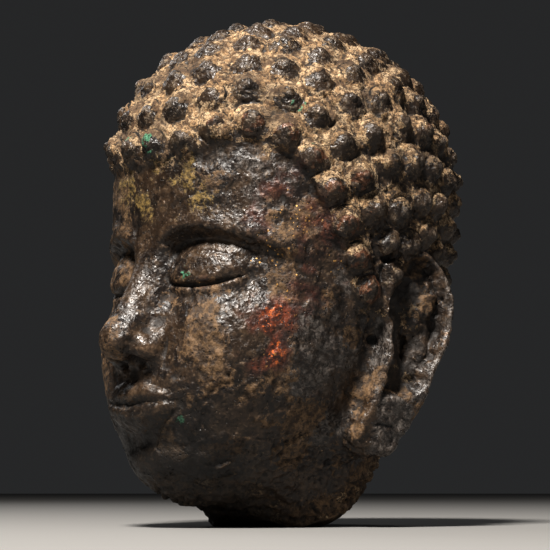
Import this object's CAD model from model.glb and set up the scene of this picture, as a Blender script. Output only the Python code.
# Visual model of a cast bronze head with rows of curls: the worked surface, its materials, light and camera.
import bpy, math, time
import numpy as np
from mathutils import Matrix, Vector


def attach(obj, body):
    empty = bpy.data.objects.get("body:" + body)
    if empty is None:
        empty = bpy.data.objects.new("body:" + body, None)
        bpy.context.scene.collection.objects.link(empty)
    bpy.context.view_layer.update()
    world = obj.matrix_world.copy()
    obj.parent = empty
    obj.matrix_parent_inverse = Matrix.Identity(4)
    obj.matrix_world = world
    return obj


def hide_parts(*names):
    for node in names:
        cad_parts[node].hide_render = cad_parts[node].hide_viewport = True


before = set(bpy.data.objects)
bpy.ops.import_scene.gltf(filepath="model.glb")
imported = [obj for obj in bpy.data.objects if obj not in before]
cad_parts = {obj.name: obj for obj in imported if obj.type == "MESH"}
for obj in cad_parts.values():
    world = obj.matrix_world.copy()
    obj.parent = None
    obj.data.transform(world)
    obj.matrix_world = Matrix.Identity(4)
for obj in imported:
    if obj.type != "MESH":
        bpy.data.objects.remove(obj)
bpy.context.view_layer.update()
GRID = 0.58            # mm, spacing of the sampling grid
FACES = 196000
T0 = time.time()
def say(*a): print("%6.1f s" % (time.time() - T0), *a)

# ------------------------------------------------------------------ sizes, mm
DOME = dict(z=133.0, rx=61.0, ry=69.0, rz=60.3)
FACE = dict(z=80.0, half=72.0, rx=55.0, ry=57.5, y=-12.0, lean=0.15, nh=2.3, nv=2.5, taper=0.15)
OCCIPUT = dict(y=12.0, z=100.0, rx=47.0, r=48.0)
NECK = dict(y=7.0, rx=33.0, ry=34.0, top=78.0)
HAIR_THICK = 2.0
CURL = dict(r=5.2, rise=4.9, pitch=13.6, row=13.9, tilt=22.0)
HAIRLINE = np.array([
    (0, 6.4), (17, 7.2), (27.4, 10.8), (38.4, 12.6), (49.6, 9.0), (58.4, 2.0), (63.6, -7.6), (68.8, -16.8),
    (72.2, -26.2), (75.5, -35.8), (81, -41), (88, -37), (95, -26), (104, -19), (114, -19.5), (124, -29), (135, -39), (151, -45.3), (180, -49)], float)
EAR = dict(z0=26.5, z1=103.5, x=55.5, thick=8.5, back=27.0)
BREAK = dict(turn=48.0, start=11.0, slope=0.02, power=2.18, back=34.0, front=24.0, front_max=8.5, reach=37.0)
SHIFT_Y = 7.281305                        # the box's middle is the origin

# ------------------------------------------------------------------ helpers
RAD = math.pi / 180
def sst(a, b, x):
    t = np.clip((x - a) / (b - a), 0, 1); return t * t * (3 - 2 * t)
def mix(a, b, t): return a + (b - a) * t
def smin(a, b, k):
    h = np.maximum(k - np.abs(a - b), 0) / k; return np.minimum(a, b) - h * h * k * 0.25
def smax(a, b, k): return -smin(-a, -b, k)
def bell(x, s): return np.exp(-x * x / (2 * s * s))
def ellipsoid(x, y, z, a, b, c):
    k0 = np.sqrt((x / a) ** 2 + (y / b) ** 2 + (z / c) ** 2)
    k1 = np.sqrt((x / a / a) ** 2 + (y / b / b) ** 2 + (z / c / c) ** 2)
    return k0 * (k0 - 1) / np.maximum(k1, 1e-9)
def round_cone(x, y, z, a, b, ra, rb):
    a, b = np.array(a, float), np.array(b, float); u = b - a; L = u @ u
    vx, vy, vz = x - a[0], y - a[1], z - a[2]
    h = np.clip((vx * u[0] + vy * u[1] + vz * u[2]) / L, 0, 1)
    return np.sqrt((vx - u[0] * h) ** 2 + (vy - u[1] * h) ** 2 + (vz - u[2] * h) ** 2) - mix(ra, rb, h)

def hash3(i, j, k, s):
    h = (i.astype(np.int64) * 374761393 + j.astype(np.int64) * 668265263 + k.astype(np.int64) * 2147483647 + s * 974634777) & 0xFFFFFFFF
    h = ((h ^ (h >> 13)) * 1274126177) & 0xFFFFFFFF
    h = ((h ^ (h >> 16)) * 2246822519) & 0xFFFFFFFF
    return ((h ^ (h >> 15)) & 0xFFFFFF) / 16777215.0
def noise(p, size, seed=0):
    q = p / size; f = np.floor(q).astype(np.int64); t = q - f; t = t * t * t * (t * (t * 6 - 15) + 10)
    r = 0
    for a in (0, 1):
        for b in (0, 1):
            for c in (0, 1):
                w = (t[:, 0] if a else 1 - t[:, 0]) * (t[:, 1] if b else 1 - t[:, 1]) * (t[:, 2] if c else 1 - t[:, 2])
                r = r + w * hash3(f[:, 0] + a, f[:, 1] + b, f[:, 2] + c, seed)
    return r * 2 - 1
def fractal(p, size, octaves=4, seed=0, gain=0.5):
    r, a, n = 0, 1.0, 0
    for o in range(octaves):
        r = r + a * noise(p, size / 2 ** o, seed + o * 17); n += a; a *= gain
    return r / n
def cells(p, size, seed=0):
    """distance to the nearest and next feature point, and a random number for the nearest"""
    q = p / size; f = np.floor(q).astype(np.int64)
    d1 = np.full(len(p), 9.0); d2 = d1.copy(); rid = np.zeros(len(p))
    for a in (-1, 0, 1):
        for b in (-1, 0, 1):
            for c in (-1, 0, 1):
                i, j, k = f[:, 0] + a, f[:, 1] + b, f[:, 2] + c
                d = np.sqrt((i + hash3(i, j, k, seed) - q[:, 0]) ** 2 + (j + hash3(i, j, k, seed + 1) - q[:, 1]) ** 2 + (k + hash3(i, j, k, seed + 2) - q[:, 2]) ** 2)
                nearer = d < d1
                d2 = np.where(nearer, d1, np.minimum(d2, d)); rid = np.where(nearer, hash3(i, j, k, seed + 3), rid); d1 = np.where(nearer, d, d1)
    return d1 * size, d2 * size, rid

# ------------------------------------------------------------------ masses and face
def masses(x, y, z):
    ax = np.abs(x)
    skull = ellipsoid(x, y, z - DOME["z"], DOME["rx"], DOME["ry"], DOME["rz"])
    taper = 1 - FACE["taper"] * sst(92, 14, z); yc = FACE["y"] + FACE["lean"] * (z - FACE["z"])
    X = ax / (FACE["rx"] * taper); Y = np.abs(y - yc) / FACE["ry"]; Z = np.abs(z - FACE["z"]) / FACE["half"]
    q = ((X ** FACE["nh"] + Y ** FACE["nh"]) ** (FACE["nv"] / FACE["nh"]) + Z ** FACE["nv"]) ** (1 / FACE["nv"])
    face = np.sqrt(ax ** 2 + (y - yc) ** 2 + (z - FACE["z"]) ** 2) * (1 - 1 / np.maximum(q, 1e-6))
    occ = ellipsoid(x, y - OCCIPUT["y"], z - OCCIPUT["z"], OCCIPUT["rx"], OCCIPUT["r"], OCCIPUT["r"])
    neck = smax((np.hypot(x / NECK["rx"], (y - NECK["y"]) / NECK["ry"]) - 1) * NECK["rx"], z - NECK["top"], 8)
    return smin(smin(smin(skull, face, 20), occ, 16), neck, 14)

EYE = dict(x=25.5, y=-62.6, z=94.0, turn=23 * RAD, half=15.5)
MOUTH = dict(half=20.5, z=45.2)
def brow_line(ax):
    t = np.clip((ax - 4) / 50, 0, 1)
    return 100.5 + 9.5 * np.sin(math.pi * t ** 0.72) - 1.5 * t
def eye_coords(ax, y, z):
    c, s = math.cos(EYE["turn"]), math.sin(EYE["turn"])
    es = (ax - EYE["x"]) * c + (y - EYE["y"]) * s; ed = (ax - EYE["x"]) * s - (y - EYE["y"]) * c
    return es, ed, z - EYE["z"] - 0.05 * es
def face(x, y, z, f):
    ax = np.abs(x); front = sst(-18, -40, y)
    h = 3.2 * np.exp(-np.hypot(ax / 24, (z - 46) / 19) ** 2.4)
    h = h + 6.0 * np.exp(-((ax / 17) ** 2 + ((z - 19) / 11) ** 2))
    h = h - 1.6 * bell(ax, 13) * bell(z - 31.5, 3.2)
    h = h + 2.0 * np.exp(-(((ax - 33) / 15) ** 2 + ((z - 68) / 17) ** 2))
    h = h + 1.0 * np.exp(-((ax / 34) ** 2 + ((z - 128) / 16) ** 2))
    zb = brow_line(ax)
    h = h + 1.3 * bell(z - zb - 1.0, 3.0) * sst(2, 9, ax) * (1 - sst(50, 60, ax))
    h = h - mix(5.4, 3.0, sst(10, 40, ax)) * sst(zb + 1.2, zb - 5.0, z) * sst(zb - 36, zb - 15, z) * sst(5.5, 12, ax) * (1 - sst(38, 54, ax))
    f = f - front * h
    es, ed, ez = eye_coords(ax, y, z)
    f = smin(f, ellipsoid(es, ed + 7.6, ez, 16.5, 8.6, 10.4), 3.0)
    u = np.clip(es / EYE["half"], -1, 1); on = 1 - sst(0.88, 1.03, np.abs(es) / EYE["half"])
    zu = -3.4 - 1.7 * (1 - u * u); zl = zu - 0.5 - 1.5 * (1 - u * u)
    e = 0.9 * sst(zu - 0.4, zu + 0.4, ez) * (1 - sst(zu + 2, zu + 7, ez))
    e = e - 0.7 * sst(zl - 0.4, zl + 0.3, ez) * sst(zu + 0.4, zu - 0.4, ez)
    e = e + 0.9 * bell(ez - (zl - 1.4), 1.2)
    e = e - 0.55 * bell(ez + 3.6 - 9.6 * np.maximum(1 - u * u, 0) ** 0.55, 0.6)
    f = f - front * e * on
    n = round_cone(x, y, z, (0, -62.4, 105), (0, -79.0, 71.5), 3.8, 5.7)
    n = smin(n, round_cone(ax, y, z, (0, -57.0, 103), (0, -67.4, 66.5), 6.0, 11.4), 9)
    n = smin(n, ellipsoid(ax, y + 80.6, z - 67.6, 6.7, 6.9, 6.2), 5)
    n = smin(n, ellipsoid(ax - 8.9, y + 72.6, z - 65.0, 5.0, 7.4, 5.4), 3.2)
    n = smax(n, 60.4 + 0.1 * (-y - 72) - z, 2.2)
    f = smin(f, n, 5.5)
    f = smax(f, -ellipsoid(ax - 5.0, y + 76.8, z - 60.0, 2.8, 4.0, 2.8), 1.2)
    f = smax(f, 0.55 - np.sqrt(((ax - 14.7) / 1.3) ** 2 + ((y + 71.5) / 3.0) ** 2 + ((z - 65.5) / 5.5) ** 2), 1.8)
    m = np.clip(ax / MOUTH["half"], 0, 1); root = np.maximum(1 - m * m, 0) ** 0.62; zm = MOUTH["z"] + 1.2 * m * m - 0.7 * bell(ax, 3.2)
    zt = zm + mix(7.6, 1.6, m ** 1.5) + 0.9 * bell(ax - 5.4, 2.8) - 0.6 * bell(ax, 2.2); zd = zm - mix(9.4, 1.6, m ** 2.2)
    tu = (z - zm) / (zt - zm); tl = (zm - z) / (zm - zd)
    def lip(v, top):
        w = np.clip(v, 0, 1.12); return np.where(v < 0, 0, np.maximum(1 - ((w - top) / (1.12 - top)) ** 2, 0) ** 0.9)
    L = 3.0 * root * lip(tu, 0.38) + 3.7 * root * lip(tl, 0.40)
    L = L - 0.9 * root ** 0.5 * bell(z - zm, 0.95) * (1 - sst(0.94, 1.05, ax / MOUTH["half"]))
    L = L - 0.9 * bell(ax, 2.5) * sst(52.5, 55, z) * (1 - sst(57, 60, z)) + 0.4 * bell(ax - 4.6, 1.4) * sst(52.5, 55, z) * (1 - sst(57, 60, z))
    L = L - 0.5 * np.exp(-(((ax - MOUTH["half"] - 0.4) / 3.0) ** 2 + ((z - zm) / 2.8) ** 2))
    return f - front * L

# ------------------------------------------------------------------ hair
def hair_angle(turn): return np.interp(turn, HAIRLINE[:, 0], HAIRLINE[:, 1])
def hair_side(x, y, z):
    ax = np.abs(x); turn = np.arctan2(ax, -y) / RAD; r = np.hypot(ax, y); up = np.arctan2(z - DOME["z"], r) / RAD
    s = (hair_angle(np.minimum(turn + 3, 180)) - hair_angle(np.maximum(turn - 3, 0))) / 6
    return (up - hair_angle(turn)) * RAD * np.hypot(r, z - DOME["z"]) / np.sqrt(1 + s * s)
def scalp(x, y, z): return masses(x, y, z) - HAIR_THICK
def grad(F, p, e=0.05):
    g = np.empty_like(p)
    for a in range(3):
        d = np.zeros(3); d[a] = e; A = p + d; B = p - d
        g[:, a] = (F(A[:, 0], A[:, 1], A[:, 2]) - F(B[:, 0], B[:, 1], B[:, 2])) / (2 * e)
    return g
def settle(F, p, n=7):
    p = np.array(p, float)
    for _ in range(n):
        g = grad(F, p); p = p - g * (F(p[:, 0], p[:, 1], p[:, 2]) / np.maximum((g * g).sum(1), 0.05))[:, None]
    return p
def even(pts, n, half=0):
    L = np.concatenate([[0], np.cumsum(np.linalg.norm(np.diff(pts, axis=0), axis=1))])
    s = L[-1] * (np.arange(n - half + 1) + half / 2) / n
    return np.stack([np.interp(s, L, pts[:, a]) for a in range(3)], 1)
def curl_rows():
    T = CURL["tilt"] * RAD; ct, st = math.cos(T), math.sin(T); C = np.array([0, 0, DOME["z"]])
    t = np.arange(181) * RAD; e = hair_angle(np.arange(181.0)) * RAD
    line = settle(scalp, C + 70 * np.stack([np.sin(t) * np.cos(e), -np.cos(t) * np.cos(e), np.sin(e)], 1))
    turn, up = np.meshgrid(np.arange(91) * 2.0, np.arange(90, -73, -3.0), indexing="ij")
    yy = -np.cos(turn * RAD) * np.cos(up * RAD); zz = np.sin(up * RAD)
    d = np.stack([np.sin(turn * RAD) * np.cos(up * RAD), yy * ct + zz * st, zz * ct - yy * st], -1)
    P = settle(scalp, (C + 70 * d).reshape(-1, 3))
    D = np.sqrt(((P[:, None, :] - line[None, :, :]) ** 2).sum(-1)).min(1)
    D = 2 * DOME["ry"] * np.arcsin(np.minimum(D / (2 * DOME["ry"]), 1))
    P = P.reshape(91, -1, 3); D = D.reshape(91, -1)
    top = D[0, 0]; rows = round(top / CURL["row"]); step = top / rows
    curls = []
    def add(q, gap):
        if all(np.linalg.norm(o - q) >= gap for o in curls): curls.append(q)
    for row in range(rows):
        if row:
            pts = []
            for i in range(91):
                k = 1
                while k < D.shape[1] - 1 and D[i, k] > row * step: k += 1
                w = min(max((D[i, k - 1] - row * step) / ((D[i, k - 1] - D[i, k]) or 1), 0), 1)
                pts.append(P[i, k - 1] * (1 - w) + P[i, k] * w)
            pts = np.array(pts)
        else: pts = line.copy()
        for _ in range(8):
            q = pts.copy(); pts[1:-1] = 0.5 * q[1:-1] + 0.25 * (q[:-2] + q[2:])
            pts[0] = 0.5 * q[0] + 0.5 * np.array([0, q[1, 1], q[1, 2]]); pts[-1] = 0.5 * q[-1] + 0.5 * np.array([0, q[-2, 1], q[-2, 2]])
        pts = settle(scalp, pts); pts[0, 0] = pts[-1, 0] = 0
        n = max(round(np.linalg.norm(np.diff(pts, axis=0), axis=1).sum() / CURL["pitch"]), 1)
        for q in even(pts, n, (row + 1) % 2):
            if abs(q[0]) < CURL["pitch"] * 0.3: q[0] = 0
            add(q, CURL["pitch"] * 0.7)
    pole = P[0, 0].copy(); pole[0] = 0; curls.append(pole); curls.append(settle(scalp, [[61.0, -3.5, 105.0]])[0])
    both = []
    for c in curls:
        both.append(c)
        if c[0] > 0.01: both.append(c * np.array([-1, 1, 1]))
    rng = np.random.RandomState(7)
    both = np.array(both); both = settle(scalp, both + (rng.rand(*both.shape) - 0.5) * 1.3)
    n = grad(scalp, both); n /= np.linalg.norm(n, axis=1)[:, None]
    k = len(both); first = hair_side(both[:, 0], both[:, 1], both[:, 2]) < 4
    r = CURL["r"] * (0.94 + 0.12 * rng.rand(k)) * np.where(first, 1.07, 1.0)
    h = CURL["rise"] * (0.88 + 0.22 * rng.rand(k)); wear = rng.rand(k); spin = rng.rand(k) * 2 * math.pi
    up = np.array([0, 0, 1.0]) - n * n[:, 2:3]; up /= np.maximum(np.linalg.norm(up, axis=1), 1e-6)[:, None]
    return dict(p=both, n=n, u=up, v=np.cross(n, up), r=r, h=h, wear=wear, spin=spin)
CURLS = curl_rows(); say("curls", len(CURLS["p"]))
CELL = 6.0
_grid = {}
for _i, _p in enumerate(CURLS["p"]):
    _k = np.floor(_p / CELL).astype(int)
    for _a in range(-2, 3):
        for _b in range(-2, 3):
            for _c in range(-2, 3):
                _q = (_k[0] + _a, _k[1] + _b, _k[2] + _c); _m = (np.array(_q) + 0.5) * CELL
                _grid.setdefault(_q, []).append((float(np.linalg.norm(_m - _p)), _i))
_lo, _n = np.array([-16, -20, 0]), np.array([32, 40, 40])
NEAR = np.full((_n[0], _n[1], _n[2], 3), -1, np.int32)       # up to three curls that may be nearest to each cell
for _q, _m in _grid.items():
    _q = np.array(_q) - _lo
    if (_q >= 0).all() and (_q < _n).all():
        for _j, (_d, _i) in enumerate(sorted(_m)[:3]): NEAR[tuple(_q)][_j] = _i
def near_curl(x, y, z):
    """nearest curl: its number (or -1), height over its ground, distance from its axis, and the two side coordinates"""
    q = [np.clip(np.floor(v / CELL).astype(int) - l, 0, n - 1) for v, l, n in zip((x, y, z), _lo, _n)]
    c = NEAR[q[0], q[1], q[2]]
    best = np.full(x.shape, 1e9); idx = np.full(x.shape, -1); W = np.zeros(x.shape); U = W.copy(); V = W.copy()
    for j in range(3):
        i = c[..., j]; ok = i >= 0; i = np.maximum(i, 0)
        dx, dy, dz = x - CURLS["p"][i, 0], y - CURLS["p"][i, 1], z - CURLS["p"][i, 2]
        d = dx * dx + dy * dy + dz * dz; take = ok & (d < best)
        n, u, v = CURLS["n"][i], CURLS["u"][i], CURLS["v"][i]
        best = np.where(take, d, best); idx = np.where(take, i, idx)
        W = np.where(take, dx * n[..., 0] + dy * n[..., 1] + dz * n[..., 2], W)
        U = np.where(take, dx * u[..., 0] + dy * u[..., 1] + dz * u[..., 2], U)
        V = np.where(take, dx * v[..., 0] + dy * v[..., 1] + dz * v[..., 2], V)
    return idx, W, U, V
def curls_field(x, y, z):
    idx, W, U, V = near_curl(x, y, z); i = np.maximum(idx, 0)
    r, h, a = CURLS["r"][i], CURLS["h"][i], np.arctan2(V, U) + CURLS["spin"][i]
    rho = np.hypot(U, V) * (1 + 0.055 * np.sin(2 * a) + 0.035 * np.sin(3 * a + 1.3))
    body = ellipsoid(rho, 0 * rho, W + 0.4, r, r, h * 0.84 + 0.4)
    nub = ellipsoid(U - 0.3, V, W - h * 0.46, 2.9, 2.9, h * 0.50)
    return np.where(idx >= 0, smin(body, nub, 1.7), 1e3)

# ------------------------------------------------------------------ ears
def catmull(pts, per):
    pts = np.array(pts, float); n = len(pts); out = []
    for i in range(n):
        a, b, c, d = pts[(i - 1) % n], pts[i], pts[(i + 1) % n], pts[(i + 2) % n]
        for k in range(per):
            t = k / per; out.append(0.5 * (2 * b + (c - a) * t + (2 * a - 5 * b + 4 * c - d) * t * t + (3 * b - a - 3 * c + d) * t ** 3))
    return np.array(out)
_B, _H = EAR["back"], EAR["z1"] - EAR["z0"]
EAR_LINE = catmull([(2.6, 0), (_B * 0.34, _H * 0.12), (_B * 0.54, _H * 0.25), (_B * 0.67, _H * 0.40), (_B * 0.87, _H * 0.54), (_B * 0.98, _H * 0.72), (_B * 0.93, _H * 0.86), (_B * 0.74, _H * 0.97), (_B * 0.5, _H),
    (_B * 0.16, _H * 0.97), (-2.2, _H * 0.87), (-3.6, _H * 0.74), (-2.4, _H * 0.56), (-4.2, _H * 0.40), (-7.2, _H * 0.26), (-11.4, _H * 0.12), (-9.0, _H * 0.04)], 5)
def polygon_distance(px, py, poly):
    d = np.full(px.shape, 1e9); inside = np.zeros(px.shape, bool); n = len(poly)
    for i in range(n):
        a, b = poly[i], poly[(i + 1) % n]; ex, ey = b - a; wx, wy = px - a[0], py - a[1]
        t = np.clip((wx * ex + wy * ey) / (ex * ex + ey * ey), 0, 1)
        d = np.minimum(d, (wx - ex * t) ** 2 + (wy - ey * t) ** 2)
        cross = (a[1] > py) != (b[1] > py)
        if ey != 0: inside ^= cross & (px < a[0] + (py - a[1]) * ex / ey)
    return np.where(inside, -1, 1) * np.sqrt(d)
def line_distance(px, py, pts):
    d = np.full(px.shape, 1e9)
    for a, b in zip(pts[:-1], pts[1:]):
        ex, ey = b[0] - a[0], b[1] - a[1]; t = np.clip(((px - a[0]) * ex + (py - a[1]) * ey) / (ex * ex + ey * ey), 0, 1)
        d = np.minimum(d, np.hypot(px - a[0] - ex * t, py - a[1] - ey * t))
    return d
def ear(x, y, z):
    """the ear's field, its distance inside its outline, and the depth of its bowl (0 to 1)"""
    v, w = y, z - EAR["z0"]; t = w / _H; sd = polygon_distance(v, w, EAR_LINE)
    plane = EAR["x"] + EAR["thick"] - 6.0 * (1 - sst(0, 0.45, t)) + 0.20 * (v - 10) - 3.0 * sst(0.75, 1, t) - 1.8 * sst(4, -4, v) * sst(14, 26, w)
    ridge_v = np.interp(w, [8, 20, 30, 42, 53, 61, 67, 71, 76], [-9, -7.2, -5.6, -3.9, -3.0, -1.5, 0.5, 3.0, 8.0])
    in_rim = sst(-1.7, -3.9, sd + 0.5 * np.sin(0.55 * w + 0.2 * v)); bottom = 21.5 + 0.35 * np.maximum(v - 6, 0)
    bowl = in_rim * sst(ridge_v + 0.3, ridge_v + 3.2, v) * sst(bottom - 1.5, bottom + 4.5, w)
    relief = 0.7 * bell(sd + 1.4, 0.9) * sst(12, 24, w)                                    # thin rolled rim
    relief = relief - (4.0 + 1.8 * sst(-2, 8, v) + 0.8 * sst(60, 45, w)) * bowl
    relief = relief - 1.6 * bell(np.hypot(v - 10.2, (w - 41) / 1.8), 3.2) * bowl                  # deepest by the ear hole
    relief = relief + 1.5 * bell(line_distance(v, w, [(15.5, 33), (17.0, 44), (17.5, 54), (14, 63)]), 2.0) * bowl   # inner fold
    relief = relief + 1.2 * bell(line_distance(v, w, [(16, 54), (20.5, 63)]), 1.8) * bowl
    relief = relief + 0.8 * bell(v - ridge_v, 0.8) * sst(20, 28, w) * (1 - sst(70, 75, w))       # front ridge
    relief = relief - 1.6 * sst(ridge_v - 0.4, ridge_v - 4.5, v) * sst(24, 34, w)
    outer = plane + relief
    thick = 7.0 + np.maximum(0, 15 - v) * 1.0
    f = smax(smax(sd, x - outer, 2.2), outer - thick - x, 3.0)
    hole = np.sqrt(((v - 10.3 - 0.08 * (w - 40)) / 1.7) ** 2 + ((w - 40.0) / 5.2) ** 2 + ((x - outer + 1.2) / 3.6) ** 2) - 1
    f = smax(f, -hole * 1.6, 0.8)
    return f, sd, bowl

# ------------------------------------------------------------------ break and the whole head
def break_height(x, y):
    c, s = math.cos(BREAK["turn"] * RAD), math.sin(BREAK["turn"] * RAD); u = x * c + y * s
    h = np.minimum(BREAK["slope"] * np.maximum(u - BREAK["start"], 0) ** BREAK["power"], BREAK["back"])
    a = np.arctan2(x, -(y - NECK["y"])); r = np.hypot(x, y - NECK["y"])
    h = h + sst(25, 33, r) * (1 - sst(40, 50, r)) * (1.4 + 1.1 * np.sin(5 * a + 0.6) + 0.8 * np.sin(11 * a + 2.1))
    h = h + np.minimum(0.7 * np.maximum(-y - BREAK["front"], 0), BREAK["front_max"])
    return np.maximum(h, 0) * (1 - sst(BREAK["reach"], BREAK["reach"] + 4, r) * sst(-10, 0, y))
def earth_fill(x, y, z):
    """earth packed between the curls: deepest on the crown and above the forehead"""
    return 1.0 * sst(138, 176, z) + 0.6 * sst(-25, -62, y) * sst(30, 5, np.abs(x - 8))
def head(x, y, z):
    x, y, z = (np.asarray(v, float) for v in (x, y, z))
    f = masses(x, y, z)
    m = (y < -18) & (np.abs(f) < 40)
    if m.any(): f[m] = face(x[m], y[m], z[m], f[m])
    hs = hair_side(x, y, z)
    f = f - HAIR_THICK * sst(-9.5, -3.2, hs) - earth_fill(x, y, z) * sst(0, 9, hs)
    c = curls_field(x, y, z); f = np.where(c < 6, smin(f, c, mix(2.6, 5.0, sst(135, 172, z))), f)
    ax = np.abs(x); m = (ax > 36) & (ax < 76) & (y > -26) & (y < 36) & (z > 18) & (z < 112)
    if m.any():
        e, sd, bowl = ear(ax[m], y[m], z[m]); k = mix(6.0, 1.5, sst(-4, 3, y[m]))
        f[m] = smin(f[m], e, k)
    h = break_height(x, y) - z
    return np.where(z < 60, smax(f, h, 0.6) * (z > 2) + np.maximum(f, h) * (z <= 2), f)

# ------------------------------------------------------------------ surface: dual mesh on a grid, then settled on the field
def field_grid(lo, n, h):
    """the field on a grid: everywhere coarse, and exact near the surface"""
    s = 4; cn = [int(math.ceil((m - 1) / s)) + 1 for m in n]
    ax = [lo[i] + h * s * np.arange(cn[i]) for i in range(3)]
    X, Y, Z = np.meshgrid(*ax, indexing="ij"); C = head(X.ravel(), Y.ravel(), Z.ravel()).reshape(X.shape)
    near = np.abs(C) < h * s * 1.5 + 1.0
    blk = np.zeros([c - 1 for c in cn], bool)
    for a in (0, 1):
        for b in (0, 1):
            for c in (0, 1): blk |= near[a:cn[0] - 1 + a, b:cn[1] - 1 + b, c:cn[2] - 1 + c]
    full = [(c - 1) * s + 1 for c in cn]
    V = np.empty(full, np.float32)
    for i in range(3): pass
    V[:] = np.repeat(np.repeat(np.repeat(C, s, 0), s, 1), s, 2)[:full[0], :full[1], :full[2]]
    m = np.repeat(np.repeat(np.repeat(blk, s, 0), s, 1), s, 2)
    mm = np.zeros(full, bool); mm[:-1, :-1, :-1] = m
    for a in range(3):
        sl = [slice(None)] * 3; sr = [slice(None)] * 3; sl[a] = slice(1, None); sr[a] = slice(0, -1)
        mm[tuple(sl)] |= mm[tuple(sr)]
    I = np.argwhere(mm)
    for k in range(0, len(I), 400000):
        J = I[k:k + 400000]; p = np.array(lo) + J * h
        V[J[:, 0], J[:, 1], J[:, 2]] = head(p[:, 0], p[:, 1], p[:, 2])
    return V
def dual_mesh(V, lo, h):
    S = V < 0; n = V.shape
    cs = [S[a:n[0] - 1 + a, b:n[1] - 1 + b, c:n[2] - 1 + c] for a in (0, 1) for b in (0, 1) for c in (0, 1)]
    t = np.zeros(cs[0].shape, np.uint8)
    for c in cs: t += c
    active = (t > 0) & (t < 8); idx = np.full(active.shape, -1, np.int32); I = np.argwhere(active); idx[active] = np.arange(len(I))
    corner = np.array([(a, b, c) for a in (0, 1) for b in (0, 1) for c in (0, 1)])
    val = np.stack([V[I[:, 0] + a, I[:, 1] + b, I[:, 2] + c] for a, b, c in corner], 1).astype(float)
    pos = np.zeros((len(I), 3)); cnt = np.zeros(len(I))
    for i in range(8):
        for j in range(i + 1, 8):
            if np.abs(corner[i] - corner[j]).sum() != 1: continue
            a, b = val[:, i], val[:, j]; cr = (a < 0) != (b < 0); w = np.where(cr, a / np.where(cr, a - b, 1), 0)
            pos += np.where(cr[:, None], corner[i] + (corner[j] - corner[i]) * w[:, None], 0); cnt += cr
    P = np.array(lo) + (I + pos / cnt[:, None]) * h
    quads = []
    for a in range(3):
        b, c = (a + 1) % 3, (a + 2) % 3
        s0 = [slice(None)] * 3; s1 = [slice(None)] * 3; s0[a] = slice(0, -1); s1[a] = slice(1, None)
        E = np.argwhere(S[tuple(s0)] != S[tuple(s1)])
        E = E[(E[:, b] > 0) & (E[:, c] > 0) & (E[:, b] < n[b] - 1) & (E[:, c] < n[c] - 1)]
        ob, oc = np.zeros(3, int), np.zeros(3, int); ob[b] = 1; oc[c] = 1
        g = lambda q: idx[q[:, 0], q[:, 1], q[:, 2]]
        q = np.stack([g(E - ob - oc), g(E - oc), g(E), g(E - ob)], 1)
        out = S[E[:, 0], E[:, 1], E[:, 2]]            # inside first, so the normal runs along +a
        quads.append(np.where(out[:, None], q, q[:, ::-1]))
    return P, np.concatenate(quads)

# ------------------------------------------------------------------ where things lie on the surface (mm, head's own frame)
def blobs(P, pts, warp=0.0, size=9.0, seed=50):
    r = np.zeros(len(P))
    for x, y, z, s, a in pts: r = np.maximum(r, a * np.exp(-((P[:, 0] - x) ** 2 + (P[:, 1] - y) ** 2 + (P[:, 2] - z) ** 2) / (2 * s * s)))
    return r + warp * fractal(P, size, 4, seed) if warp else r
def path3(P, pts):
    d = np.full(len(P), 1e9)
    for a, b in zip(pts[:-1], pts[1:]):
        a, b = np.array(a, float), np.array(b, float); e = b - a; t = np.clip(((P - a) @ e) / (e @ e), 0, 1)
        d = np.minimum(d, np.linalg.norm(P - a - t[:, None] * e, axis=1))
    return d
def laid(paths):
    """each path with more points, moved onto the surface"""
    out = []
    for q in paths:
        q = np.array(q, float); t = np.linspace(0, len(q) - 1, 5 * (len(q) - 1) + 1); P = np.stack([np.interp(t, np.arange(len(q)), q[:, k]) for k in range(3)], 1)
        for _ in range(6):
            f = head(*P.T); g = grad(head, P, 0.3); P = P - g * np.clip(f / np.maximum((g * g).sum(1), 0.3), -4, 4)[:, None]
        out.append(P)
    return out
LOBE_CRACKS = [[(60, -4, 57), (60, 1, 54), (60, 4.5, 48.5), (59, 9, 47.5), (59, 14.5, 46)], [(58, 4.5, 48.5), (57, 5.5, 42), (56, 4.0, 37)], [(57, -9, 36), (57, -3, 38.5), (57, 2, 37)]]
CHEEK_CRACK = [(20, -70, 80), (23, -67, 77), (22, -68, 71), (24, -67, 65), (22, -68, 59), (25, -66, 52), (30, -62, 47)]
JAW_CRACKS = [[(44, -40, 46), (45, -36, 40), (43, -30, 33), (40, -25, 25)], [(48, -25, 50), (50, -16, 46), (49, -9, 47)], [(20, -66, 26), (32, -52, 20), (38, -38, 15), (40, -24, 17)], [(40, -55, 60), (43, -50, 56), (44, -46, 50)]]
LEDGES = laid([[(26, -60, 18), (34, -51, 20), (40, -38, 25), (44, -26, 31)], [(18, -58, 10), (28, -52, 13), (36, -42, 15), (42, -30, 18), (45, -18, 22)], [(30, -40, 7), (38, -30, 10), (42, -18, 14), (44, -8, 20)], [(-28, -58, 16), (-36, -44, 14), (-42, -26, 16)], [(46, -12, 30), (48, -4, 34), (47, 4, 36)]])
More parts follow.
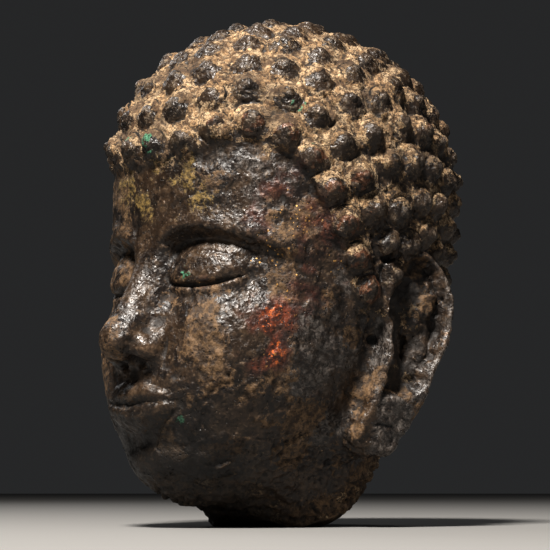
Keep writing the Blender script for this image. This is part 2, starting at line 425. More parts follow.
def zones(P):
    x, y, z = P.T; Z = {}
    hs = hair_side(x, y, z); Z["hair"] = sst(-8.0, -4.5, hs + 2.0 * noise(P, 9, 14) + 1.6 * noise(P, 4.0, 15))
    idx, W, U, V = near_curl(x, y, z); i = np.maximum(idx, 0); r = CURLS["r"][i]; rho = np.hypot(U, V)
    Z["i"], Z["rho"], Z["W"] = i, rho, W; Z["ang"] = np.arctan2(V, U) + CURLS["spin"][i]
    Z["curl"] = np.where(idx >= 0, sst(0.5, 1.6, W) * sst(r * 1.22, r * 0.98, rho), 0)
    Z["rel"] = rho / r; Z["over"] = np.where(idx >= 0, U / np.maximum(rho, 0.3), 0); Z["near"] = np.where(idx >= 0, 1.0, 0.0)
    ax = np.abs(x); inear = (ax > 44) & (y > -14) & (y < 34) & (z > 24) & (z < 107)
    sd = np.full(len(P), 30.0); bowl = np.zeros(len(P)); ef = np.full(len(P), 30.0)
    if inear.any(): ef[inear], sd[inear], bowl[inear] = ear(ax[inear], y[inear], z[inear])
    Z["ear"] = sst(2.5, 0.5, ef) * sst(50, 52, ax); Z["bowl"] = bowl; Z["sd"] = sd
    bh = break_height(x, y); rr = np.hypot(x, y - NECK["y"])
    Z["break"] = sst(14, 3, z - bh + 3.0 * noise(P, 11, 16)) * np.maximum(sst(20, 26, rr), sst(3, 8, z)) * (z < 52)
    Z["under"] = sst(0.8, 0.2, z - bh) * sst(6.5, 2.5, z)
    return Z
HOLES = [(60, -3, 99.5, 3.0, 2.4), (60, -8, 98, 1.6, 2.0), (60.5, 1, 103, 1.3, 1.4), (61, -11, 107, 1.0, 1.4), (61, -9, 109, 0.8, 1.1), (62, -13, 114, 1.0, 1.3), (63, -1, 116, 0.8, 1.1), (62, 10, 118, 1.1, 1.4),
    (61, -21, 129, 0.9, 1.1), (63, 6, 136, 0.8, 1.0), (57, -29, 139, 1.1, 1.2), (39, -56, 138, 1.2, 1.0), (-58, -12, 104, 1.6, 1.5), (-60, 4, 112, 1.1, 1.2), (-61, 12, 126, 1.0, 1.1), (-50, 40, 112, 1.6, 1.3), (20, 66, 112, 1.2, 1.1), (-12, 70, 130, 1.0, 1.0),
    (53.5, -4, 69, 2.6, 1.4), (56, -1.5, 80.5, 1.3, 1.0), (52, -8, 57, 1.0, 0.8), (58, -8, 92, 0.9, 0.8), (38, -52, 38, 1.4, 0.6), (-50, -20, 60, 1.6, 0.8), (-30, -58, 128, 1.2, 0.5), (47, -40, 70, 0.9, 0.5), (40, -30, 45, 1.3, 0.8), (36, -38, 30, 1.6, 0.8), (46, -20, 42, 1.1, 0.8)]
def holes(P):
    d = np.zeros(len(P)); dark = np.zeros(len(P)); w = 0.35 * fractal(P, 2.4, 2, 71)
    for cx, cy, cz, r, depth in HOLES:
        q = np.sqrt(((P - (cx, cy, cz)) ** 2).sum(1)) / r; n = q < 3
        if not n.any(): continue
        k = q[n] + w[n]; d[n] += -depth * sst(1.0, 0.45, k) + 0.2 * min(depth, 1.2) * bell(k - 1.15, 0.16); dark[n] = np.maximum(dark[n], sst(1.0, 0.6, k))
    return d, dark
def bare_ground(P): return sst(0.07, 0.13, fractal(P, 7.5, 4, 63) + 0.12 * sst(35, 62, P[:, 0]) - 0.05)
def detail(P):
    """relief finer than the form, mm outwards"""
    x, y, z = P.T; Z = zones(P); hair, curl, i, rho, over = Z["hair"], Z["curl"], Z["i"], Z["rho"], Z["over"]; skin = (1 - hair) * (1 - Z["break"])
    n1 = fractal(P, 14, 4, 3); n2 = fractal(P, 5.5, 3, 9); n3 = fractal(P, 2.6, 2, 21); n4 = fractal(P, 24, 3, 31); n7 = noise(P, 3.8, 41)
    d = 0.13 * n2 + 0.13 * n3
    # curls: a nub, and a turn and a half of a groove round it, more or less worn
    s = rho / 2.25 - Z["ang"] / (2 * math.pi); g = 0.5 + 0.5 * np.cos(2 * math.pi * s); on = hair * curl
    d = d - on * (1 - 0.7 * CURLS["wear"][i]) * 0.62 * g ** 1.3 * sst(1.1, 1.9, rho) * (1 - sst(0.82, 1.02, Z["rel"]))
    d = d + on * (0.36 * n3 + 0.26 * n7 - 0.45 * sst(0.35, 0.65, noise(P, 3.3, 43)) * sst(0.25, 0.6, Z["rel"]))
    arc = Z["near"] * hair * bell(Z["rel"] - 1.07 - 0.06 * n3, 0.055) * sst(-0.1, 0.5, over + 0.9 * noise(P, 8, 44))
    heap = Z["near"] * hair * bell(Z["rel"] - 1.24, 0.24) * (0.35 + 0.65 * sst(-0.5, 0.8, over))
    d = d + 0.75 * heap - 0.8 * arc
    # ground between the curls: packed earth, rough, pitted, and fallen out in places
    ground = hair * (1 - curl)
    d = d + ground * (0.36 * n2 + 0.26 * n3 + 0.30 * sst(-0.2, 0.5, n1) - 0.45 * bare_ground(P) + 0.40 * sst(0.10, 0.02, np.abs(fractal(P, 8, 3, 171))) - 0.2)
    c1, c2, rid = cells(P, 3.2, 60)
    d = d - 0.95 * (rid > 0.70) * sst(0.95, 0.45, c1) * ground * np.clip(0.30 + blobs(P, [(60, -9, 100, 18, 0.8), (61, 4, 118, 18, 0.5), (-60, -9, 100, 18, 0.5)]), 0, 1)
    # skin: old lacquer in layers with crisp broken edges
    lac = n1 + 0.35 * n2
    d = d + skin * (0.30 * sst(0.00, 0.03, lac) + 0.10 * bell(lac - 0.035, 0.02))
    lac2 = fractal(P, 8, 4, 77) + 0.25 * n4
    d = d + skin * 0.20 * sst(0.10, 0.125, lac2)
    lac3 = fractal(P, 4.2, 3, 87) + 0.3 * n1
    d = d - skin * 0.22 * sst(0.22, 0.26, lac3)
    cheek = sst(22, 25, x + 2.2 * n2) * sst(47, 38, x) * sst(40, 48, z + 4 * n1) * sst(86, 78, z + 5 * n1) * (y < -35)
    d = d + cheek * (0.30 + 0.22 * n3 + 0.25 * sst(0.0, 0.05, fractal(P, 3.4, 3, 97))) - 0.6 * bell(path3(P, CHEEK_CRACK) + 0.6 * np.abs(n3), 0.5)
    for c in JAW_CRACKS: d = d - 0.55 * bell(path3(P + 1.5 * np.stack([n2, n3, n2], 1), c), 0.45)
    for c in LEDGES:
        near = np.flatnonzero(((P > c.min(0) - 6) & (P < c.max(0) + 6)).all(1))
        if len(near):
            k = path3(P[near] + 2.2 * np.stack([n2, n3, n2], 1)[near], c); d[near] += (0.95 * bell(k, 0.75) - 0.6 * bell(k - 1.7, 0.6)) * sst(-0.3, 0.2, n1[near] + 0.4 * n3[near])
    for c in LOBE_CRACKS: d = d - 1.3 * bell(path3(P + 0.8 * np.stack([n3, n2, n3], 1), c), 0.55)
    w1, w2, wid = cells(P, 2.7, 90)
    d = d + skin * 0.26 * (wid > 0.78) * sst(0.95, 0.2, w1) * sst(-0.15, 0.25, n1)         # warts of corrosion
    d = d - skin * 0.38 * (wid < 0.10) * sst(0.75, 0.3, w1)                                # pinholes
    # ear: crusts in the bowl
    e = Z["ear"]
    e1, e2, eid = cells(P, 3.6, 75)
    d = d + e * Z["bowl"] * (0.7 * sst(-0.1, 0.4, n2) + 0.6 * n3 + 0.9 * (eid > 0.55) * sst(0.9, 0.3, e1) - 1.1 * (eid < 0.22) * sst(0.8, 0.35, e1))
    d = d + e * 1.2 * blobs(P, [(59, 13, 78, 3.0, 1), (59, 8, 76.5, 2.4, 0.9), (60, 19, 88, 3.0, 0.8), (60, 15, 83, 2.0, 0.5), (58, 11, 61, 2.2, 0.5), (58, 13.5, 58, 2.4, 0.5)]) * (0.4 + 0.9 * sst(-0.2, 0.4, n3))
    # lower edge: torn metal in ledges
    b = Z["break"]; q = z + 9.0 * n4 + 6.0 * n1 + 2.0 * n2 + 0.25 * x; led = (q / 4.6) % 1.0; l1, l2, lid = cells(P + 1.6 * np.stack([n2, n3, n2], 1), 5.2, 66)
    d = d + b * (1.3 * sst(0.0, 0.12, led) * (1 - sst(0.40, 1.0, led)) * sst(0.15, 0.6, lid) - 0.9 + 1.5 * (lid - 0.4) * sst(1.0, 0.55, l1) - 0.5 * (1 - sst(0.02, 0.16, l2 - l1)) + 0.7 * n2 + 0.5 * n3)
    low = skin * sst(44, 26, z) * sst(18, 30, x + 0.35 * (y + 40)) * sst(-68, -56, y)     # crust over the broken jaw edge
    d = d + low * (0.5 * sst(0.0, 0.08, fractal(P, 6, 4, 107)) + 0.4 * n3 - 0.5 * sst(0.15, 0.3, fractal(P, 3.6, 2, 117)))
    d = d + holes(P)[0]
    return d * (1 - 0.9 * Z["under"])

def build_mesh():
    lo = np.array([-72.0, -96.0, -1.45]); hi = np.array([72.0, 78.0, 204.0])
    n = np.ceil((hi - lo) / GRID).astype(int) + 1
    V = field_grid(lo, n, GRID); say("field", V.shape)
    P, Q = dual_mesh(V, lo, GRID); say("dual mesh", len(P), len(Q)); del V
    H = lambda a, b, c: head(a, b, c)
    e = 0.12
    for it in range(2):
        f = head(*P.T); g = grad(H, P, e); gg = (g * g).sum(1)
        P = P - g * np.clip(f / np.maximum(gg, 0.3), -0.6 * GRID, 0.6 * GRID)[:, None]
    N = grad(H, P, 0.35); N /= np.maximum(np.linalg.norm(N, axis=1), 1e-6)[:, None]
    d = np.zeros(len(P))
    for k in range(0, len(P), 200000): d[k:k + 200000] = detail(P[k:k + 200000])
    P = P + N * d[:, None]
    P[:, 2] = np.where(P[:, 2] < 0.12, 0.0, P[:, 2])
    say("relief")
    tri = np.concatenate([Q[:, [0, 1, 2]], Q[:, [0, 2, 3]]])
    a = np.linalg.norm(P[Q[:, 0]] - P[Q[:, 2]], axis=1) <= np.linalg.norm(P[Q[:, 1]] - P[Q[:, 3]], axis=1)
    tri = np.where(np.concatenate([a, a])[:, None], tri, np.concatenate([Q[:, [0, 1, 3]], Q[:, [1, 2, 3]]]))
    return P, tri
def mesh_object(name, P, T):
    me = bpy.data.meshes.new(name); me.vertices.add(len(P)); me.vertices.foreach_set("co", np.ascontiguousarray(P, np.float32).ravel())
    me.loops.add(T.size); me.loops.foreach_set("vertex_index", np.ascontiguousarray(T, np.int32).ravel())
    me.polygons.add(len(T)); me.polygons.foreach_set("loop_start", np.arange(0, T.size, 3, dtype=np.int32)); me.polygons.foreach_set("loop_total", np.full(len(T), 3, np.int32))
    me.update(calc_edges=True); me.validate(clean_customdata=False)
    o = bpy.data.objects.new(name, me); bpy.context.scene.collection.objects.link(o); return o

P, T = build_mesh()
raw = mesh_object("raw", (P + np.array([0, SHIFT_Y, 0])) * 0.001, T); say("raw mesh", len(T))
mod = raw.modifiers.new("thin", "DECIMATE"); mod.ratio = min(1.0, FACES / len(raw.data.polygons)); mod.use_collapse_triangulate = True
dg = bpy.context.evaluated_depsgraph_get()
me = bpy.data.meshes.new_from_object(raw.evaluated_get(dg)); me.name = "bronze_head"
piece = bpy.data.objects.new("bronze_head", me); bpy.context.scene.collection.objects.link(piece)
bpy.data.objects.remove(raw)
me.polygons.foreach_set("use_smooth", np.ones(len(me.polygons), bool))
say("thinned", len(me.polygons))

# ------------------------------------------------------------------ what covers the surface, as numbers on its points
co = np.empty(len(me.vertices) * 3, np.float32); me.vertices.foreach_get("co", co)
C = co.reshape(-1, 3).astype(float) * 1000 - np.array([0, SHIFT_Y, 0])
no = np.empty(len(me.vertices) * 3, np.float32); me.vertex_normals.foreach_get("vector", no); no = no.reshape(-1, 3)
def curvature():
    """hollow (negative) to ridge (positive), from the mesh itself"""
    E = np.empty(len(me.edges) * 2, np.int32); me.edges.foreach_get("vertices", E); E = E.reshape(-1, 2)
    s = np.zeros((len(C), 3)); k = np.zeros(len(C))
    np.add.at(s, E[:, 0], C[E[:, 1]]); np.add.at(s, E[:, 1], C[E[:, 0]]); np.add.at(k, E.ravel(), 1)
    v = -((s / np.maximum(k, 1)[:, None] - C) * no).sum(1)
    wide = v.copy()
    for _ in range(3):
        a = np.zeros(len(C)); np.add.at(a, E[:, 0], wide[E[:, 1]]); np.add.at(a, E[:, 1], wide[E[:, 0]]); wide = 0.5 * wide + 0.5 * a / np.maximum(k, 1)
    return v, wide
fine, wide = curvature()
Z = zones(C); n1 = fractal(C, 14, 4, 3); n2 = fractal(C, 5.5, 3, 9); n3 = noise(C, 1.7, 21); n5 = fractal(C, 30, 3, 131); n6 = fractal(C, 9, 4, 151); n8 = fractal(C, 3.6, 3, 161)
hair, curl, over = Z["hair"], Z["curl"], Z["over"]
X, Y, H = C.T
A = {}
front = sst(25, -45, Y * 0.75 + X * 0.35); top = sst(120, 180, H)
keep = np.clip(0.66 + 0.26 * top + 0.20 * front - 0.10 * sst(118, 92, H), 0.45, 1.0)              # how much earth is left: most on top and in front
bare = bare_ground(C)
keep = np.clip(keep + 0.30 * n5 - 0.10 * sst(30, 58, X) * sst(160, 125, H), 0.35, 1.0)
earth = hair * (1 - curl) * np.clip(keep + 0.50 * n6 + 0.22 * n2 - 0.36 * bare - 0.45 * Z["near"] * bell(Z["rel"] - 1.18, 0.16) * sst(0.1, -0.7, over), 0, 1)
earth = np.maximum(earth, 0.9 * hair * Z["near"] * bell(Z["rel"] - 1.10, 0.16) * np.clip(0.35 + 0.65 * over + 0.5 * n8, 0, 1) * keep)
earth = np.maximum(earth, hair * curl * sst(0.15, 0.45, n6 + 0.5 * n8) * 0.75 * sst(108, 130, H))
earth = np.maximum(earth, hair * Z["near"] * keep * sst(0.40, 0.85, Z["rel"] + 0.32 * over + 0.40 * n8 - 0.1) * sst(-0.75, 0.35, over + 0.3 * n6))
fringe = sst(-15, -6, hair_side(*C.T)) * (1 - hair) * (H > 100) * sst(52, 44, X)
earth = np.maximum(earth, fringe * sst(-0.25, 0.2, n6 + 0.5 * n8) * 0.9)
earth = np.maximum(earth, Z["ear"] * blobs(C, [(59, 13, 78, 3.6, 1), (59, 8, 76.5, 3.0, 0.9), (60, 19, 88, 3.2, 0.8), (58, 6, 58, 2.6, 0.9), (58, 10, 55, 2.4, 0.8), (60, 4, 98, 3.0, 0.8), (-60, 14, 82, 4, 0.8), (-60, 12, 100, 4, 0.6)]) * sst(-0.5, 0.1, n2 + 0.3 * n8))
earth = np.maximum(earth, 0.70 * blobs(C, [(44, 0, 50, 4, 0.8), (42, -2, 40, 5, 0.8), (46, -6, 52, 3.5, 0.7), (-44, 0, 46, 6, 0.8)]) * sst(-0.2, 0.2, n6 + 0.4 * n8))
earth = np.maximum(earth, 0.8 * Z["break"] * sst(0.05, 0.35, n2 + 0.5 * n8 + 0.25 * n6) * (1 - Z["under"]))
for c in LEDGES:
    near = np.flatnonzero(((C > c.min(0) - 6) & (C < c.max(0) + 6)).all(1)); f3 = fractal(C[near], 2.6, 2, 21)
    earth[near] = np.maximum(earth[near], 0.95 * bell(path3(C[near] + 2.2 * np.stack([n2[near], f3, n2[near]], 1), c), 0.7) * sst(-0.2, 0.3, n1[near] + 0.4 * f3))
A["earth"] = np.clip(earth, 0, 1)
A["brown"] = np.clip(np.maximum.reduce([
    blobs(C, [(32, -62, 66, 9, 1), (36, -58, 52, 8, 1), (30, -64, 76, 5, 0.8), (-32, -60, 60, 12, 0.8), (10, -70, 35, 8, 0.6), (48, -6, 50, 5, 1), (53, -7, 52, 4.0, 0.75), (53, -9, 43, 4.0, 0.75), (52, -11, 36, 3.5, 0.7), (45, 0, 44, 6, 1), (41, 2, 34, 6, 1), (36, -45, 30, 9, 0.8), (42, -30, 40, 7, 0.8)]) * sst(-0.45, 0.05, n1 + 0.2 * n2) * 1.15,
    Z["break"], sst(0.05, 0.3, n1) * 0.6 * (1 - hair)]), 0, 1)
A["red"] = np.clip(blobs(C, [(54, -36, 132, 8, 0.68), (57, -27, 122, 9, 0.70), (55, -32, 112, 10, 0.66), (57, -24, 104, 9, 0.62), (51, -40, 92, 9, 0.62), (48, -46, 122, 8, 0.6), (44, -51, 112, 8, 0.55), (53, -35, 84, 8, 0.7), (46, -48, 75, 8.0, 1.05), (45, -49, 64, 7.0, 1.15), (56, -18, 92, 6, 0.4), (-50, -38, 92, 10, 0.5), (28, -64, 86, 5, 0.4)]) * sst(-0.6, 0.2, n6 + 0.3 * n2) * 1.25, 0, 1) * (1 - 0.6 * hair)
A["olive"] = np.clip(blobs(C, [(11, -69, 133, 10, 1.05), (3, -71, 125, 9, 0.95), (20, -66, 134, 9, 1.05), (24, -65, 124, 8, 0.8), (12, -70, 118, 7, 0.75), (-2, -72, 134, 8, 0.8), (-14, -69, 130, 10, 0.8), (62, 3, 104, 5, 0.5)]) * sst(-0.4, 0.25, n6) * 1.1, 0, 1) * (1 - 0.5 * hair)
A["grey"] = np.clip(np.maximum(blobs(C, [(36, -57, 133, 8, 1), (44, -50, 136, 7, 1), (49, -43, 127, 7, 0.7), (41, -53, 122, 7, 0.7), (52, -33, 70, 10, 1.1), (53, -24, 64, 10, 1.2), (50, -36, 57, 9, 1.0), (55, -20, 77, 9, 1.1), (56, -22, 88, 8, 0.8), (44, -16, 36, 8, 0.8), (41, -28, 32, 7, 0.7), (-48, -40, 80, 14, 0.7), (-40, -55, 130, 12, 0.7)]) * sst(-0.5, 0.1, n6 + 0.2 * n2) * 1.1, 0.80 * Z["ear"] * (1 - Z["bowl"]) * sst(-9, -4, Y)), 0, 1) * (1 - hair)
A["green"] = np.clip(blobs(C, [(21, -66, 93, 2.6, 1), (6, -75, 141, 3.2, 1), (-9, -73, 147, 2.6, 0.9), (51, -9, 167, 1.8, 1), (58, -22, 137, 1.6, 0.9), (19, -67, 39, 1.8, 0.8), (60, 13, 118, 2.4, 0.6), (-20, -80, 66, 3, 0.6), (30, 40, 170, 4, 0.6), (-40, 30, 150, 5, 0.6), (10, 60, 120, 5, 0.5), (51, -39, 154, 4, 0.45), (56, -36, 136, 3, 0.5)]) * sst(-0.3, 0.2, n2 + 0.4 * n3) * 1.3, 0, 1)
A["gold"] = np.clip(blobs(C, [(47, -47, 100, 8, 0.8), (52, -38, 110, 9, 0.75), (50, -42, 84, 7, 0.6), (46, -48, 62, 5, 0.6), (56, -28, 98, 9, 0.6), (57, -25, 126, 7, 0.5), (25, -64, 90, 5, 0.5), (60, 15, 79, 3, 0.3)]), 0, 1)
RUSTY = np.zeros(len(CURLS["p"])); rng = np.random.RandomState(3); RUSTY[:] = np.where(rng.rand(len(RUSTY)) < 0.14, 0.55, 0.0)
for q in [(58, -29, 123), (59, -23, 111), (59, -17, 99), (58, -11, 88), (41, -52, 147), (30, -61, 145), (55, -35, 134), (49, -43, 143), (61, -18, 128)]: RUSTY[np.argmin(((CURLS["p"] - q) ** 2).sum(1))] = 1.0
A["rust"] = hair * curl * RUSTY[Z["i"]] * sst(-0.35, 0.25, n8 + 0.5 * over * 0.4)
A["wear"] = np.clip(sst(0.05, 0.35, wide) * 0.9 + sst(0.08, 0.3, fine) * 0.3, 0, 1) * (1 - 0.5 * A["earth"]) * (1 - 0.75 * hair * curl * sst(0.20, 0.45, Z["rel"])) * (1 - 0.55 * Z["ear"])
A["cavity"] = np.clip(np.maximum(sst(-0.03, -0.28, wide) + 0.5 * sst(-0.05, -0.25, fine), 0.85 * Z["ear"] * Z["bowl"] * sst(-0.35, 0.15, 0.2 - n6 + 0.3 * n8)), 0, 1)
lobe_crack = np.zeros(len(C))
for c in LOBE_CRACKS: lobe_crack = np.maximum(lobe_crack, bell(path3(C + 0.8 * np.stack([fractal(C, 2.6, 2, 21), n2, fractal(C, 2.6, 2, 21)], 1), c), 0.55))
A["pit"] = np.clip(0.95 * lobe_crack + holes(C)[1] + 0.7 * hair * Z["near"] * bell(Z["rel"] - 1.07, 0.07) * sst(0.0, 0.6, over + 0.9 * noise(C, 8, 44) + 0.6 * n8 - 0.2), 0, 1)
A["curl"] = hair * curl
A["lacq"] = (1 - hair) * sst(0.0, 0.05, n1 + 0.35 * n2)
A["soot"] = (1 - hair) * np.clip(sst(58, 24, H + 6 * n6) * sst(46, 24, X + 0.3 * (Y + 60)) + 0.5 * Z["under"], 0, 1)
for k, v in A.items():
    at = me.attributes.new(k, "FLOAT", "POINT"); at.data.foreach_set("value", np.ascontiguousarray(v, np.float32))
say("coverings")

# ------------------------------------------------------------------ material
mat = bpy.data.materials.new("patinated_bronze"); mat.use_nodes = True
nt = mat.node_tree; nt.nodes.clear(); NL = nt.links
def node(kind, **kw):
    n = nt.nodes.new(kind)
    for k, v in kw.items(): setattr(n, k, v)
    return n
def put(sock, v):
    if isinstance(v, bpy.types.NodeSocket): NL.new(v, sock)
    elif isinstance(v, tuple) and len(v) == 3 and sock.type == "RGBA": sock.default_value = (*v, 1)
    else: sock.default_value = v
def attr(name): return node("ShaderNodeAttribute", attribute_name=name).outputs["Fac"]
coord = node("ShaderNodeTexCoord").outputs["Object"]
def mapped(scale, turn=(0, 0, 0)):
    n = node("ShaderNodeMapping"); NL.new(coord, n.inputs["Vector"]); n.inputs["Scale"].default_value = scale; n.inputs["Rotation"].default_value = turn; return n.outputs[0]
def tex(mm, detail=4, rough=0.55, vec=None, dist=0.0):
    n = node("ShaderNodeTexNoise"); put(n.inputs["Vector"], vec if vec is not None else coord); n.inputs["Scale"].default_value = 1000 / mm if mm else 1
    n.inputs["Detail"].default_value = detail; n.inputs["Roughness"].default_value = rough; n.inputs["Distortion"].default_value = dist; return n.outputs["Fac"]
def bent(mm, by):
    """the coordinates pushed about by noise, so that cells and cracks run unevenly"""
    n = node("ShaderNodeTexNoise"); NL.new(coord, n.inputs["Vector"]); n.inputs["Scale"].default_value = 1000 / mm; n.inputs["Detail"].default_value = 3
    c = node("ShaderNodeVectorMath", operation="MULTIPLY_ADD"); NL.new(n.outputs["Color"], c.inputs[0]); c.inputs[1].default_value = (by / 1000,) * 3; NL.new(coord, c.inputs[2]); return c.outputs[0]
def vor(mm, feature="F1", vec=None):
    n = node("ShaderNodeTexVoronoi", feature=feature); put(n.inputs["Vector"], vec if vec is not None else coord); n.inputs["Scale"].default_value = 1000 / mm; return n.outputs["Distance"]
def m(op, a, b=0.0, clamp=False):
    n = node("ShaderNodeMath", operation=op, use_clamp=clamp); put(n.inputs[0], a); put(n.inputs[1], b); return n.outputs[0]
def mul(*v):
    r = v[0]
    for q in v[1:]: r = m("MULTIPLY", r, q)
    return r
def add(*v):
    r = v[0]
    for q in v[1:]: r = m("ADD", r, q)
    return r
def off(n, k): return mul(m("SUBTRACT", n, 0.5), k)
def inv(v): return m("SUBTRACT", 1.0, v)
def ramp(v, a, b, lo=0.0, hi=1.0):
    n = node("ShaderNodeMapRange", interpolation_type="SMOOTHSTEP"); put(n.inputs["Value"], v); n.inputs["From Min"].default_value = a; n.inputs["From Max"].default_value = b
    n.inputs["To Min"].default_value = lo; n.inputs["To Max"].default_value = hi; return n.outputs["Result"]
def blend(f, a, b, mode="MIX"):
    n = node("ShaderNodeMix", data_type="RGBA", blend_type=mode); put(n.inputs[0], f)
    put([s for s in n.inputs if s.name == "A" and s.type == "RGBA"][0], a); put([s for s in n.inputs if s.name == "B" and s.type == "RGBA"][0], b)
    return [s for s in n.outputs if s.type == "RGBA"][0]
def fblend(f, a, b):
    n = node("ShaderNodeMix", data_type="FLOAT"); put(n.inputs[0], f); put(n.inputs[2], a); put(n.inputs[3], b); return n.outputs[0]

big, mid, small, grain = tex(16, 5, 0.6), tex(4.5, 6, 0.65), tex(1.5, 6, 0.68), tex(0.55, 4, 0.65)
spots = tex(2.6, 5, 0.7)
earth_a, brown_a, red_a, olive_a, grey_a, green_a, gold_a, wear_a, cav_a, pit_a, curl_a, lacq_a, rust_a = (attr(k) for k in ("earth", "brown", "red", "olive", "grey", "green", "gold", "wear", "cavity", "pit", "curl", "lacq", "rust"))
soot_a = attr("soot"); crease = m("ABSOLUTE", off(tex(8.0, 4, 0.62), 2.0))
crumb = m("ABSOLUTE", off(tex(1.9, 5, 0.7), 2.0))                                            # creased, crumbling look
crack = vor(5.2, "DISTANCE_TO_EDGE", bent(3.2, 3.4))
# old dark patina, black-brown with lighter brown showing through
col = blend(ramp(big, 0.38, 0.62), (0.011, 0.007, 0.005), (0.036, 0.022, 0.013))
col = blend(ramp(mid, 0.48, 0.64, 0, 0.8), col, (0.075, 0.048, 0.028))
col = blend(ramp(small, 0.57, 0.65, 0, 0.65), col, (0.175, 0.122, 0.078))
col = blend(mul(lacq_a, ramp(small, 0.44, 0.60, 0.85, 0.35)), col, (0.011, 0.008, 0.007))
col = blend(ramp(spots, 0.40, 0.33, 0, 0.75), col, (0.009, 0.007, 0.006))
# greyish, rubbed, finely scratched lacquer
scr = tex(0, 4, 0.65, mapped((1150, 330, 420), (0.3, 0.5, 0.7)), 0.8); scr2 = tex(0, 4, 0.65, mapped((360, 1050, 480), (0.9, 0.1, -0.5)), 0.8)
gm = ramp(add(grey_a, off(mid, 1.1), off(small, 0.5)), 0.30, 0.70)
col = blend(mul(gm, 0.75), col, blend(ramp(scr, 0.44, 0.62), (0.026, 0.022, 0.020), (0.150, 0.133, 0.120)))
# matt brown corroded metal
bm = ramp(add(brown_a, off(small, 1.1), off(grain, 0.4)), 0.36, 0.58)
col = blend(mul(bm, 0.85), col, blend(ramp(spots, 0.40, 0.62), (0.040, 0.022, 0.010), (0.185, 0.112, 0.054)))
# olive and mustard crust
om = ramp(add(olive_a, off(mid, 0.5), off(small, 1.3), off(grain, 0.5)), 0.40, 0.74)
col = blend(mul(om, 0.9), col, blend(ramp(small, 0.42, 0.62), (0.070, 0.046, 0.015), (0.235, 0.160, 0.050)))
# red lacquer with orange flecks
rm = ramp(add(red_a, off(mid, 0.9), off(small, 0.5)), 0.30, 0.75)
col = blend(mul(rm, 0.80), col, blend(ramp(spots, 0.42, 0.60), (0.040, 0.013, 0.009), blend(ramp(red_a, 0.55, 1.0), (0.105, 0.040, 0.026), (0.210, 0.048, 0.018))))
col = blend(mul(ramp(red_a, 0.72, 1.0), ramp(small, 0.56, 0.61)), col, (0.56, 0.145, 0.030))
# curls with red-brown on them
um = ramp(add(rust_a, off(spots, 2.2), off(mid, 1.4)), 0.55, 0.90)
col = blend(mul(um, 0.85), col, blend(ramp(small, 0.40, 0.60), (0.060, 0.026, 0.014), (0.210, 0.085, 0.038)))
# a thin crust on the curls
cm = mul(curl_a, ramp(add(small, off(grain, 0.5), off(mid, 0.4)), 0.55, 0.64))
col = blend(mul(cm, 0.55), col, blend(ramp(mid, 0.42, 0.58), (0.135, 0.088, 0.050), (0.270, 0.215, 0.150)))
# worn high places show warmer, lighter metal
wm = mul(wear_a, ramp(add(small, off(spots, 0.6)), 0.42, 0.58, 0.20, 1.0))
col = blend(mul(wm, 0.60), col, blend(curl_a, (0.250, 0.165, 0.105), (0.190, 0.160, 0.135)))
# buff earth
em = ramp(add(earth_a, off(mid, 0.5), off(small, 1.1), off(spots, 1.0), off(grain, 0.35)), 0.40, 0.56)
ec = blend(ramp(mid, 0.38, 0.62), (0.100, 0.058, 0.029), (0.330, 0.215, 0.115))
ec = blend(ramp(small, 0.54, 0.64, 0, 0.75), ec, (0.560, 0.405, 0.235))
ec = blend(mul(ramp(crease, 0.10, 0.03), 0.55), ec, (0.560, 0.430, 0.280))
ec = blend(ramp(small, 0.48, 0.40, 0, 0.85), ec, (0.060, 0.035, 0.019)); ec = blend(ramp(big, 0.52, 0.38, 0, 0.70), ec, (0.052, 0.032, 0.019))
ec = blend(ramp(grain, 0.48, 0.40, 0, 0.9), ec, (0.050, 0.032, 0.020)); ec = blend(ramp(spots, 0.45, 0.37, 0, 0.9), ec, (0.045, 0.030, 0.019))
col = blend(em, col, ec)
line = mul(ramp(crack, 0.045, 0.015), ramp(tex(7, 3), 0.53, 0.62), em)
col = blend(mul(line, 0.9), col, (0.020, 0.014, 0.010))
# green corrosion, gold flecks
gn = mul(ramp(add(green_a, off(small, 1.4)), 0.46, 0.60), 0.9)
col = blend(gn, col, blend(ramp(grain, 0.42, 0.62), (0.022, 0.080, 0.042), (0.120, 0.340, 0.210)))
fleck = mul(ramp(add(vor(1.5), off(grain, 0.30)), 0.30, 0.22), ramp(add(gold_a, off(tex(3.1, 3), 2.2)), 0.55, 0.85))
col = blend(fleck, col, (0.80, 0.47, 0.17))
# dirt in the hollows, pinholes
dark = mul(ramp(cav_a, 0.15, 0.85), fblend(em, 0.80, 0.55))
col = blend(dark, col, (0.012, 0.009, 0.007)); col = blend(mul(soot_a, 0.80), col, (0.006, 0.005, 0.004))
pin = mul(ramp(add(vor(1.7), off(grain, 0.25)), 0.24, 0.14), ramp(tex(6, 3), 0.48, 0.58)); col = blend(mul(pin, 0.85), col, (0.008, 0.006, 0.005))
col = blend(ramp(add(pit_a, off(small, 0.7)), 0.42, 0.62), col, (0.005, 0.004, 0.003))

rough = fblend(ramp(small, 0.40, 0.62), 0.29, 0.52)
rough = fblend(gm, rough, fblend(ramp(scr, 0.4, 0.65), 0.25, 0.42)); rough = fblend(bm, rough, 0.66); rough = fblend(om, rough, 0.72); rough = fblend(mul(rm, 0.6), rough, 0.40)
rough = fblend(mul(wm, 0.6), rough, 0.30); rough = fblend(em, rough, 0.88); rough = fblend(gn, rough, 0.85); rough = fblend(fleck, rough, 0.30); rough = fblend(mul(cav_a, 0.8), rough, 0.85); rough = fblend(mul(soot_a, 0.6), rough, 0.60)
metal = m("MAXIMUM", mul(wm, 0.50, inv(em)), fleck)

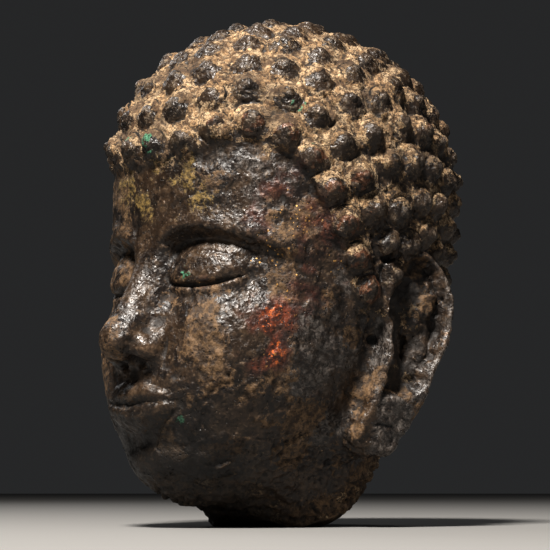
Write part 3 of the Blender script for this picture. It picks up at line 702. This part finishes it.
height = add(off(tex(4.6, 2, 0.5), 0.48), off(tex(1.9, 1.5, 0.5), 0.32), off(tex(1.05, 1, 0.5), 0.24))                              # mm
height = add(height, mul(gm, add(off(scr, 0.22), off(scr2, 0.16))))
height = add(height, mul(em, add(off(grain, 0.20), off(spots, 0.50), 0.15)), mul(bm, add(off(spots, 0.55), off(grain, 0.12))))
height = add(height, mul(curl_a, add(off(tex(1.5, 2, 0.55), 0.42), off(tex(0.95, 1, 0.5), 0.16))), mul(cm, 0.10))
height = add(height, mul(crumb, inv(em), -0.10), mul(line, -0.35), mul(pin, -0.45), mul(fleck, 0.08), mul(om, 0.12))
bump = node("ShaderNodeBump"); bump.inputs["Strength"].default_value = 1.0; bump.inputs["Distance"].default_value = 0.001; NL.new(height, bump.inputs["Height"])
bsdf = node("ShaderNodeBsdfPrincipled"); out = node("ShaderNodeOutputMaterial"); NL.new(bsdf.outputs[0], out.inputs[0])
put(bsdf.inputs["Base Color"], col); put(bsdf.inputs["Roughness"], rough); put(bsdf.inputs["Metallic"], metal); put(bsdf.inputs["Normal"], bump.outputs[0])
bsdf.inputs["Specular IOR Level"].default_value = 0.5
me.materials.clear(); me.materials.append(mat)
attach(piece, "root"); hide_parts("head")

# ------------------------------------------------------------------ stage, light, camera
def plain(name, rgb, rough):
    w = bpy.data.materials.new(name); w.use_nodes = True; b = w.node_tree.nodes["Principled BSDF"]
    b.inputs["Base Color"].default_value = (*rgb, 1); b.inputs["Roughness"].default_value = rough; b.inputs["Specular IOR Level"].default_value = 0.2; return w
def floor():
    """round floor, wide enough to run out of every view"""
    V = [(0, 0, 0)]; F = []; seg = 96; rings = [0.3, 0.8, 2.0, 6.0]
    for r in rings: V += [(r * math.cos(2 * math.pi * i / seg), r * math.sin(2 * math.pi * i / seg), 0) for i in range(seg)]
    F += [(0, 1 + i, 1 + (i + 1) % seg) for i in range(seg)]
    for k in range(len(rings) - 1): F += [(1 + k * seg + i, 1 + (k + 1) * seg + i, 1 + (k + 1) * seg + (i + 1) % seg, 1 + k * seg + (i + 1) % seg) for i in range(seg)]
    w = bpy.data.meshes.new("floor"); w.from_pydata(V, [], F); o = bpy.data.objects.new("floor", w)
    bpy.context.scene.collection.objects.link(o); w.materials.append(plain("pale_floor", (0.23, 0.227, 0.222), 0.9)); return o
floor()
world = bpy.data.worlds.new("studio"); bpy.context.scene.world = world; world.use_nodes = True
world.node_tree.nodes["Background"].inputs[0].default_value = (0.95, 0.97, 1.0, 1); world.node_tree.nodes["Background"].inputs[1].default_value = 0.028
def light(name, place, size, power, aim=(0, 0, 0.11), rgb=(1, 1, 1)):
    l = bpy.data.lights.new(name, "AREA"); l.energy = power; l.size = size; l.color = rgb
    o = bpy.data.objects.new(name, l); bpy.context.scene.collection.objects.link(o); o.location = place
    o.rotation_euler = (Vector(aim) - Vector(place)).to_track_quat("-Z", "Y").to_euler(); return o
AZ, EL, DIST, MM = 48 * RAD, -7 * RAD, 0.700, 0.0004
RIGHT = Vector((math.cos(AZ), math.sin(AZ), 0)); BACK = Vector((math.sin(AZ) * math.cos(EL), -math.cos(AZ) * math.cos(EL), math.sin(EL))); UP = BACK.cross(RIGHT)
def from_camera(r, b, u): return RIGHT * r + Vector((math.sin(AZ), -math.cos(AZ), 0)) * b + Vector((0, 0, u))
light("key", from_camera(-0.24, 0.66, 1.08), 0.22, 32, rgb=(1, 0.955, 0.90))
light("fill", from_camera(1.0, 0.75, 0.55), 0.9, 0.9, rgb=(0.95, 0.97, 1))
light("rim", from_camera(-0.60, -0.80, 0.85), 0.5, 2.2)
view = bpy.context.scene.view_settings; view.view_transform = "Standard"; view.exposure = 0.45; view.gamma = 0.82
cam = bpy.data.cameras.new("camera"); cob = bpy.data.objects.new("camera", cam); bpy.context.scene.collection.objects.link(cob)
aim = Vector((0, SHIFT_Y * 0.001, DOME["z"] * 0.001)) + RIGHT * ((275 - 283) * MM) + UP * ((190 - 275) * MM)
cob.location = aim + BACK * DIST; cob.rotation_mode = "QUATERNION"; cob.rotation_quaternion = (-BACK).to_track_quat("-Z", "Y")
cam.sensor_width = 36; cam.lens = 36 * DIST / (550 * MM); cam.clip_start = 0.01; cam.clip_end = 20
bpy.context.scene.camera = cob

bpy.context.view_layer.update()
say("done")
